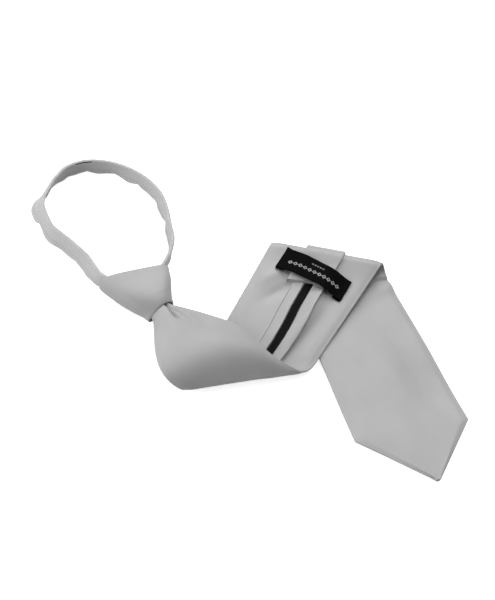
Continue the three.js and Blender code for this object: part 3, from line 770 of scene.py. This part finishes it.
# How much of that the side away from the viewer takes
SNUG_FAR = {"half": 0.25, "fall": 0.6}
# Powers of the knot's section along its way, from the mouth to the top: the lower, the squarer
SQUARENESS_WAY = (0, 0.3, 0.6, 1)
SQUARENESS = (0.8, 0.66, 0.56, 0.5)
# The mouth's rolled lip: its length as a share of the knot, and how far its edge draws in
LIP_LENGTH = 0.035
LIP_ROLL = 0.32
LIP_STATIONS = 6
KNOT_STATIONS = 40
KNOT_SIDES = 120
# The knot's length and mean radius in its pattern
KNOT_PATTERN = (32, 14)


def knot_outline(way):
    """The knot's section in a square from -1 to 1: angles, and places across and up."""
    angle = np.arange(KNOT_SIDES) / KNOT_SIDES * 2 * math.pi
    power = np.interp(way, SQUARENESS_WAY, SQUARENESS)
    x = np.sign(np.cos(angle)) * np.abs(np.cos(angle)) ** power
    z = np.sign(np.sin(angle)) * np.abs(np.sin(angle)) ** power
    return angle, x, z


def knot_ring(way, inset):
    """The knot's section at a share of its length. At the mouth it follows the blade's arch."""
    centre, across = knot_frame(way)
    angle, x, z = knot_outline(way)
    snug = np.clip(1 - way / MOUTH_SNUG["length"], 0, 1) ** 2
    aside = np.interp(way, KNOT_WAY, KNOT_ASIDE)
    spread = np.interp(way, KNOT_WAY, KNOT_SPREAD)
    rise = np.interp(way, KNOT_WAY, KNOT_RISE)
    half = mix(MOUTH_HALF, KNOT_TOP_HALF, spread) - inset
    half = half - MOUTH_SNUG["half"] * snug * np.where(x > 0, SNUG_FAR["half"], 1)
    fall = (BLADE_MOUTH_CROWN - BLADE_MOUTH_SIDE) * snug * x * x
    fall = fall * np.where(x > 0, SNUG_FAR["fall"], 1)
    height = mix(MOUTH_HEIGHT, KNOT_HEIGHT, rise) - MOUTH_SNUG["height"] * snug - fall
    flat = centre + KNOT_AXIS * KNOT_SET_BACK * (1 - way) + across * aside * KNOT_TOP_HALF
    ring = flat + (x * half)[:, None] * across
    ring[:, 2] = height / 2 + z * (height / 2 - inset)
    length, radius = KNOT_PATTERN
    pattern = np.stack([0 * angle + way * length, angle * radius, 0 * angle + 1], axis=-1)
    return ring, pattern


def make_knot():
    lip_ways = np.linspace(0, LIP_LENGTH, LIP_STATIONS)
    ways = np.concatenate([lip_ways, np.linspace(LIP_LENGTH, 1, KNOT_STATIONS)[1:]])
    walls = mix(KNOT_RIM_WALL, KNOT_WALL, np.interp(ways, KNOT_WAY, KNOT_THICKNESS))
    lip = LIP_ROLL * (1 - np.sqrt(1 - np.clip(1 - ways / LIP_LENGTH, 0, 1) ** 2))
    outside = [knot_ring(way, roll) for way, roll in zip(ways, lip)]
    inside = [knot_ring(way, wall - roll) for way, wall, roll in zip(ways, walls, lip)]
    parts = outside + inside[::-1]
    rings = np.stack([part[0] for part in parts])
    pattern = np.stack([part[1] for part in parts])
    return make_body("satin_knot", rings, pattern, looped=True)


# The neck bands

SPLINE_STEPS = 40


def between(x, low, high, a, b):
    """Goes straight from a, where x is low, to b, where x is high."""
    return (high - x) / (high - low) * a + (x - low) / (high - low) * b


def spline_piece(points, last):
    """Points between the middle two of four, and how far along that piece each is."""
    a, b, c, d = points
    k = np.cumsum([0] + [np.linalg.norm(v) ** 0.5 for v in (b - a, c - b, d - c)])
    x = np.linspace(k[1], k[2], SPLINE_STEPS, endpoint=last)[:, None]
    ab = between(x, k[0], k[1], a, b)
    bc = between(x, k[1], k[2], b, c)
    cd = between(x, k[2], k[3], c, d)
    low = between(x, k[0], k[2], ab, bc)
    high = between(x, k[1], k[3], bc, cd)
    return between(x, k[1], k[2], low, high), (x[:, 0] - k[1]) / (k[2] - k[1])


def spline(points, count):
    """Even points, tangents and the rows' own parameter along a centripetal spline."""
    last = len(points) - 2
    p = np.array([2 * points[0] - points[1], *points, 2 * points[-1] - points[-2]])
    pieces = [spline_piece(p[i:i + 4], i == last) for i in range(last + 1)]
    fine = np.concatenate([piece for piece, _ in pieces])
    row = np.concatenate([i + share for i, (_, share) in enumerate(pieces)])
    steps = np.concatenate([[0], np.cumsum(np.linalg.norm(np.diff(fine, axis=0), axis=1))])
    even = np.linspace(0, steps[-1], count)
    path = np.stack([np.interp(even, steps, fine[:, k]) for k in range(3)], axis=-1)
    return path, unit(np.gradient(path, axis=0)), np.interp(even, steps, row), even


def band_start(side):
    """Behind the slider, on the band's own side of the knot's axis."""
    row = np.array([[BLADE_LENGTH + ZIP_TUCK]])
    centre = strap_centre(row)
    point, _, normal = blade_frame(row, centre)
    depth = BLADE_THICKNESS / 2 + pleat_room(row) + GAP + STRAP_THICKNESS / 2
    seat = (point - normal * depth[..., None])[0, 0]
    start = seat + KNOT_AXIS * (GAP + SLIDER_LENGTH + BAND_THICKNESS / 2)
    start = start + np.array([-KNOT_AXIS[1], KNOT_AXIS[0], 0]) * side * (BAND_THICKNESS / 2 + GAP)
    return start * np.array([1, 1, 0])


def route_points(side, route):
    centre, across = knot_frame(1)
    along = np.array([-across[1], across[0], 0])
    points = [centre + along * row[0] * LOOP_LENGTH + across * row[1] * LOOP_WIDTH for row in route]
    return [band_start(side), *points]


BAND_ROWS = 320
BAND_RIM = 1.0
# The binding's sides are hollow between its two edges: by a share of its thickness, up to a share
# of its height from the middle
BAND_HOLLOW = {"depth": 0.25, "reach": 0.72}
# Waves of the binding's lower edge, sideways: length along the band, size and phase
BAND_WAVES = ((31, 0.75, 0.4), (19, 0.45, 2.1), (11, 0.2, 4.0))
# The binding is puckered: its lower edge rises to a cusp at each pucker, and the puckers' strength
# comes and goes along the band. fade: the power by which they fade up the band.
PUCKER = {"length": 19.5, "rise": 2.3, "phase": 0.3, "change": 43, "least": 0.15, "fade": 1.5}
# Near the knot the waves and puckers have this share of their size, and all of it from this length
BAND_CALM = 0.3
BAND_LOOSE = 85


def band_waves(run, side):
    total = np.zeros_like(run)
    for length, size, phase in BAND_WAVES:
        total += size * np.sin(run / length * 2 * math.pi + phase + side)
    return total


def band_puckers(run, side):
    cusp = 1 - np.abs(np.sin(run / PUCKER["length"] * math.pi + PUCKER["phase"]))
    strength = mix(PUCKER["least"], 1, np.sin(run / PUCKER["change"] * math.pi + side) ** 2)
    return strength * cusp**2


def make_band(name, side, route):
    """Half of the neck loop: zip tape in a puckered binding, standing on its edge."""
    path, heading, row, run = spline(route_points(side, route), BAND_ROWS)
    leans = np.interp(row - 1, np.arange(len(route)), [entry[2] for entry in route])
    sideways = np.stack([heading[:, 1], -heading[:, 0], 0 * row], axis=-1)
    free = smooth(run, BAND_INSIDE, 3 * BAND_INSIDE)
    loose = free * mix(BAND_CALM, 1, smooth(run, 3 * BAND_INSIDE, BAND_LOOSE))
    height = BAND_HEIGHT * mix(BAND_PINCH, 1, free)
    bottom = mix(KNOT_WALL + BAND_LIFT, BAND_REST, free)
    share, out, face = even_section(17, rim_steps=4).T
    z = (share + 1) / 2 * (height - 2 * BAND_RIM)[:, None] + BAND_RIM + out * BAND_RIM
    low = 1 - z / height[:, None]
    hollow = BAND_HOLLOW["depth"] * np.clip(1 - (share / BAND_HOLLOW["reach"]) ** 2, 0, 1)
    x = face * BAND_THICKNESS / 2 * (1 - hollow) + (band_waves(run, side) * loose)[:, None] * low**2
    x = x + side * leans[:, None] * z
    pucker = PUCKER["rise"] * (band_puckers(run, side) * loose)[:, None]
    rings = path[:, None, :] + sideways[:, None, :] * x[..., None]
    rings[..., 2] = bottom[:, None] + z + pucker * np.clip(low, 0, 1) ** PUCKER["fade"]
    pattern = np.stack([run[:, None] - run[-1] + 0 * z, z, face + 0 * z], axis=-1)
    return make_body(name, rings, pattern)


# Materials

# Constant values on the shader's own sockets
SATIN_LOOK = {
    "Roughness": 0.5, "Specular IOR Level": 0.35, "Sheen Weight": 0.25, "Sheen Roughness": 0.4,
    "Anisotropic": 0.35,
}
BINDING_LOOK = {"Roughness": 0.55, "Specular IOR Level": 0.3, "Sheen Weight": 0.25}
ZIP_LOOK = {"Roughness": 0.75, "Specular IOR Level": 0.12}
LABEL_LOOK = {"Roughness": 0.75, "Specular IOR Level": 0.05}
STEEL_LOOK = {"Metallic": 1.0, "Roughness": 0.35}
PAPER_LOOK = {"Roughness": 1.0, "Specular IOR Level": 0.0, "Emission Color": (1, 1, 1, 1)}

# Colours. Tones: the darkest and lightest shares of a cloth's grey. Stops: where its texture has them.
SATIN_GREY = (0.43, 0.43, 0.435)
SATIN_TONES = (0.95, 1.04)
SATIN_STOPS = (0.3, 0.7)
BINDING_GREY = (0.54, 0.54, 0.545)
# The binding's darkest and lightest shares are painted shade in its puckers' hollows and painted light on
# their crowns
BINDING_PUCKER_SHADES = (0.8, 1.14)
BINDING_STOPS = (0.34, 0.66)
STITCH_TONE = 0.72
COIL_BLACK = (0.012, 0.012, 0.013)
ZIP_COLOURS = ((0.002, 0.002, 0.0022), (0.006, 0.006, 0.0065))
LABEL_COLOURS = ((0.0025, 0.0025, 0.0027), (0.36, 0.36, 0.37))
STEEL_COLOURS = ((0.4, 0.41, 0.43), (0.5, 0.51, 0.53))

# Textures: the scale along, across and through a piece's pattern, for each millimetre, and settings
TWILL = {
    "kind": "ShaderNodeTexWave", "scale": (0.45, 0.45, 0),
    "Distortion": 0.6, "Detail": 1.0, "bands_direction": "DIAGONAL",
}
SLUB = {"kind": "ShaderNodeTexNoise", "scale": (0.25, 2.2, 0), "Detail": 3.0}
TONE = {"kind": "ShaderNodeTexNoise", "scale": (0.03, 0.04, 0.2), "Detail": 2.0}
# Noise of the binding's puckers: their bump, and also the painted shade and light on them
PUCKER_NOISE = {"kind": "ShaderNodeTexNoise", "scale": (0.9, 1.3, 0), "Detail": 4.0, "Roughness": 0.7}
WEAVE = {"kind": "ShaderNodeTexChecker", "scale": (2.0, 2.0, 0)}
THREADS = {"kind": "ShaderNodeTexWave", "scale": (0.1, 1.1, 0), "bands_direction": "Y"}
SCRATCH_SCALE = 900.0
SCRATCH_DETAIL = 4.0

# Bumps: strength, and height in metres
TWILL_BUMP = (0.12, 0.0001)
SLUB_BUMP = (0.1, 0.0001)
PUCKER_NOISE_BUMP = (0.35, 0.0003)
STITCH_BUMP = (0.3, 0.0002)
WEAVE_BUMP = (0.3, 0.0001)
THREAD_BUMP = (0.25, 0.0001)
MOTIF_BUMP = (0.3, 0.0001)

# Where the binding leaves the black coil bare: limits of the place along the band, from the loop's
# far end, and of the height
BARE_RUN = (-6.5, 0.1)
BARE_HEIGHT = (10.6, 11.5)
# The line of stitches: the limits of its height, its pitch, and each stitch's share of that
STITCH_HEIGHT = (3.12, 3.68)
STITCH_PITCH = 2.4
STITCH_SHARE = (0.2, 0.8)

# The label's motif, two rows of hollow lozenges: the row's place across the label, its pitch, each
# lozenge's radius and half the row's length
LABEL_ROWS = (
    {"y": 1.6, "pitch": 3.6, "radius": 1.75, "reach": 19.8},
    {"y": -4.4, "pitch": 2.0, "radius": 0.85, "reach": 5.0},
)
LABEL_HOLLOW = 0.42


def new_material(name, look):
    material = bpy.data.materials.new(name)
    material.use_nodes = True
    tree = material.node_tree
    shader = tree.nodes["Principled BSDF"]
    for key, value in look.items():
        shader.inputs[key].default_value = value
    return material, tree, shader


def add_node(tree, kind, **settings):
    node = tree.nodes.new(kind)
    for key, value in settings.items():
        if key in node.inputs:
            node.inputs[key].default_value = value
        else:
            setattr(node, key, value)
    return node


def pattern_place(tree):
    """The piece's own place along and across its pattern, in millimetres."""
    place = add_node(tree, "ShaderNodeAttribute", attribute_name="pattern")
    split = add_node(tree, "ShaderNodeSeparateXYZ")
    tree.links.new(place.outputs["Vector"], split.inputs[0])
    return split.outputs["X"], split.outputs["Y"]


def pattern_texture(tree, kind, scale, **settings):
    """A texture that lies in the piece's own pattern."""
    place = add_node(tree, "ShaderNodeAttribute", attribute_name="pattern")
    mapping = add_node(tree, "ShaderNodeMapping")
    mapping.inputs["Scale"].default_value = scale
    tree.links.new(place.outputs["Vector"], mapping.inputs["Vector"])
    texture = add_node(tree, kind, Scale=1.0, **settings)
    tree.links.new(mapping.outputs["Vector"], texture.inputs["Vector"])
    return texture.outputs["Fac"]


def colour_ramp(tree, factor, low, high, stops=(0.0, 1.0)):
    ramp = add_node(tree, "ShaderNodeValToRGB")
    ramp.color_ramp.elements[0].position = stops[0]
    ramp.color_ramp.elements[1].position = stops[1]
    ramp.color_ramp.elements[0].color = (*low, 1)
    ramp.color_ramp.elements[1].color = (*high, 1)
    tree.links.new(factor, ramp.inputs["Fac"])
    return ramp.outputs["Color"]


def math_node(tree, operation, *values):
    node = add_node(tree, "ShaderNodeMath", operation=operation)
    for socket, value in zip(node.inputs, values):
        if isinstance(value, (int, float)):
            socket.default_value = value
        else:
            tree.links.new(value, socket)
    return node.outputs[0]


def distance(tree, value, centre):
    return math_node(tree, "ABSOLUTE", math_node(tree, "SUBTRACT", value, centre))


def product(tree, a, b):
    return math_node(tree, "MULTIPLY", a, b)


def within(tree, value, limits):
    """1 where a value is between two limits."""
    above = math_node(tree, "GREATER_THAN", value, limits[0])
    return product(tree, above, math_node(tree, "LESS_THAN", value, limits[1]))


def painted(tree, cloth, factor, colour):
    """The cloth's colour, with a plain colour on it where the factor is 1."""
    paint = add_node(tree, "ShaderNodeMix", data_type="RGBA")
    tree.links.new(factor, paint.inputs["Factor"])
    tree.links.new(cloth, paint.inputs["A"])
    paint.inputs["B"].default_value = (*colour, 1)
    return paint.outputs["Result"]


def shades(grey, tones):
    return [tuple(c * tone for c in grey) for tone in tones]


def finish_cloth(tree, shader, colour, *bumps):
    """Links the colour and a chain of bumps: (height, strength, distance in metres)."""
    tree.links.new(colour, shader.inputs["Base Color"])
    normal = None
    for height, strength, reach in bumps:
        bump = add_node(tree, "ShaderNodeBump", Strength=strength, Distance=reach)
        tree.links.new(height, bump.inputs["Height"])
        if normal is not None:
            tree.links.new(normal, bump.inputs["Normal"])
        normal = bump.outputs["Normal"]
    tree.links.new(normal, shader.inputs["Normal"])


def satin(name):
    """Polyester satin: a fine diagonal twill, soft sheen and a faint change of tone."""
    material, tree, shader = new_material(name, SATIN_LOOK)
    twill, slub, tone = (pattern_texture(tree, **texture) for texture in (TWILL, SLUB, TONE))
    colour = colour_ramp(tree, tone, *shades(SATIN_GREY, SATIN_TONES), SATIN_STOPS)
    finish_cloth(tree, shader, colour, (twill, *TWILL_BUMP), (slub, *SLUB_BUMP))
    return material


def binding(name):
    """Crumpled satin binding: fine puckers in its bump, with painted shade in their hollows and painted
    light on their crowns, and a line of stitches along its foot.
    """
    material, tree, shader = new_material(name, BINDING_LOOK)
    pucker_noise = pattern_texture(tree, **PUCKER_NOISE)
    # Painted shade and light of the puckers: darker where their bump is low, lighter where it is high
    cloth = colour_ramp(tree, pucker_noise, *shades(BINDING_GREY, BINDING_PUCKER_SHADES), BINDING_STOPS)
    run, height = pattern_place(tree)
    pitch = math_node(tree, "FRACT", math_node(tree, "DIVIDE", run, STITCH_PITCH))
    line = within(tree, height, STITCH_HEIGHT)
    stitch = product(tree, line, within(tree, pitch, STITCH_SHARE))
    sewn = painted(tree, cloth, stitch, (c * STITCH_TONE for c in BINDING_GREY))
    bare = product(tree, within(tree, run, BARE_RUN), within(tree, height, BARE_HEIGHT))
    colour = painted(tree, sewn, bare, COIL_BLACK)
    finish_cloth(tree, shader, colour, (pucker_noise, *PUCKER_NOISE_BUMP), (stitch, *STITCH_BUMP))
    return material


def zip_black(name):
    """Black woven tape and coil."""
    material, tree, shader = new_material(name, ZIP_LOOK)
    weave = pattern_texture(tree, **WEAVE)
    finish_cloth(tree, shader, colour_ramp(tree, weave, *ZIP_COLOURS), (weave, *WEAVE_BUMP))
    return material


def lozenge_row(tree, x, y, row):
    """1 where a light thread shows in one row of the label's motif."""
    cell = math_node(tree, "ADD", math_node(tree, "DIVIDE", x, row["pitch"]), 0.5)
    aside = distance(tree, math_node(tree, "FRACT", cell), 0.5)
    reach = math_node(tree, "ADD", product(tree, aside, row["pitch"]), distance(tree, y, row["y"]))
    line = within(tree, reach, (row["radius"] * LABEL_HOLLOW, row["radius"]))
    return product(tree, line, math_node(tree, "LESS_THAN", distance(tree, x, 0), row["reach"]))


def label_weave(name):
    """Black damask label with a light woven motif."""
    material, tree, shader = new_material(name, LABEL_LOOK)
    threads = pattern_texture(tree, **THREADS)
    rows = [lozenge_row(tree, *pattern_place(tree), row) for row in LABEL_ROWS]
    motif = math_node(tree, "MAXIMUM", *rows)
    colour = colour_ramp(tree, motif, *LABEL_COLOURS)
    finish_cloth(tree, shader, colour, (threads, *THREAD_BUMP), (motif, *MOTIF_BUMP))
    return material


def slider_metal(name):
    material, tree, shader = new_material(name, STEEL_LOOK)
    scratch = add_node(tree, "ShaderNodeTexNoise", Scale=SCRATCH_SCALE, Detail=SCRATCH_DETAIL)
    colour = colour_ramp(tree, scratch.outputs["Fac"], *STEEL_COLOURS)
    tree.links.new(colour, shader.inputs["Base Color"])
    return material


# Camera, floor and light

def look_matrix(direction, roll):
    """A camera's rotation that looks along a direction, with a roll in degrees."""
    right = unit(np.cross(direction, UP))
    up = np.cross(right, direction)
    c, s = math.cos(math.radians(roll)), math.sin(math.radians(roll))
    rolled_right = right * c + up * s
    rolled_up = up * c - right * s
    return Matrix(np.stack([rolled_right, rolled_up, -direction], axis=-1).tolist())


def make_camera():
    elevation = math.radians(CAMERA_ELEVATION)
    direction = np.array([0.0, math.cos(elevation), -math.sin(elevation)])
    data = bpy.data.cameras.new("camera")
    data.sensor_fit = "VERTICAL"
    data.sensor_height = CAMERA_SENSOR
    data.lens = CAMERA_LENS
    camera = bpy.data.objects.new("camera", data)
    place = (SHIFT - direction * CAMERA_DISTANCE) * MM
    camera.matrix_world = Matrix.Translation(Vector(place)) @ look_matrix(direction, CAMERA_ROLL).to_4x4()
    bpy.context.scene.collection.objects.link(camera)
    bpy.context.scene.camera = camera


# The floor is white paper. Its glow shows to the camera alone, so it lights nothing.
FLOOR_REACH = 6.0
FLOOR_GRAIN = 60.0
FLOOR_COLOURS = ((0.82,) * 3, (0.84,) * 3)
FLOOR_GLOW = 0.8
SKY_STRENGTH = 0.05
# Soft boxes: name, direction in which they stand from the tie, and power in watts. Distance and
# size are in metres.
LIGHT_DISTANCE = 2.0
LIGHT_SIZE = 1.2
LIGHTS = (
    ("top_softbox", (0, 0, 1), 14),
    ("left_softbox", (-1, 0, 1), 6),
    ("back_softbox", (0, 1, 1), 25),
    ("low_fill", (-0.75, -0.6, 0.35), 20.5),
)


def floor_paper(name):
    material, tree, shader = new_material(name, PAPER_LOOK)
    grain = add_node(tree, "ShaderNodeTexNoise", Scale=FLOOR_GRAIN)
    colour = colour_ramp(tree, grain.outputs["Fac"], *FLOOR_COLOURS)
    tree.links.new(colour, shader.inputs["Base Color"])
    ray = add_node(tree, "ShaderNodeLightPath")
    glow = product(tree, ray.outputs["Is Camera Ray"], FLOOR_GLOW)
    tree.links.new(glow, shader.inputs["Emission Strength"])
    return material


def make_floor():
    mesh = bpy.data.meshes.new("floor")
    corners = [(-1, -1, 0), (1, -1, 0), (1, 1, 0), (-1, 1, 0)]
    mesh.from_pydata([Vector(corner) * FLOOR_REACH for corner in corners], [], [(0, 1, 2, 3)])
    mesh.materials.append(floor_paper("floor_paper"))
    floor = bpy.data.objects.new("floor", mesh)
    bpy.context.scene.collection.objects.link(floor)


def make_lights():
    world = bpy.data.worlds.new("studio")
    world.use_nodes = True
    background = world.node_tree.nodes["Background"]
    background.inputs["Color"].default_value = (1, 1, 1, 1)
    background.inputs["Strength"].default_value = SKY_STRENGTH
    bpy.context.scene.world = world
    for name, direction, power in LIGHTS:
        data = bpy.data.lights.new(name, "AREA")
        data.energy = power
        data.size = LIGHT_SIZE
        light = bpy.data.objects.new(name, data)
        light.location = Vector(direction).normalized() * LIGHT_DISTANCE
        light.rotation_euler = light.location.to_track_quat("Z", "Y").to_euler()
        bpy.context.scene.collection.objects.link(light)


def layout_shift():
    """Where the layout's origin is in the frame: it brings the drawn blade onto the blade's box."""
    drawn = blade_frame(*blade_grid(even_section(21, rim_steps=2)[:, 0]))[0]
    middle = (drawn.min((0, 1)) + drawn.max((0, 1))) / 2
    low, high = [np.array(corner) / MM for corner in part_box("blade")]
    return ((low + high) / 2 - middle) * (1, 1, 0)


# The scene

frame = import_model()
SHIFT = layout_shift()

bpy.context.scene.view_settings.view_transform = "Standard"
make_camera()
make_floor()
make_lights()

CLOTH = satin("silver_satin")
BAND_CLOTH = binding("binding_satin")
ZIP_BLACK = zip_black("black_zip")
LABEL = label_weave("label_weave")

blade = dress(make_blade(), CLOTH, "cloth", "blade")
tail = dress(make_tail(), CLOTH, "cloth", "tail")
dress(make_zip(), ZIP_BLACK, "zip_tape", "strap_zip")
left_cover = dress(make_cover("cover_left", -1), CLOTH, "cloth", "strap_cover_left")
right_cover = dress(make_cover("cover_right", 1), CLOTH, "cloth", "strap_cover_right")
label = dress(make_label(), LABEL, "label_weave", "keeper_label")
for tab in label.children:
    tab.data.materials.append(LABEL)
knot = dress(make_knot(), CLOTH, "cloth", "knot")
dress(make_band("bound_band_left", 1, LEFT_ROUTE), BAND_CLOTH, "band_cloth", "neck_band_left")
dress(make_band("bound_band_right", -1, RIGHT_ROUTE), BAND_CLOTH, "band_cloth", "neck_band_right")
slider = frame["nodes"]["zip_slider"]
slider.data.materials.clear()
slider.data.materials.append(slider_metal("slider_steel"))
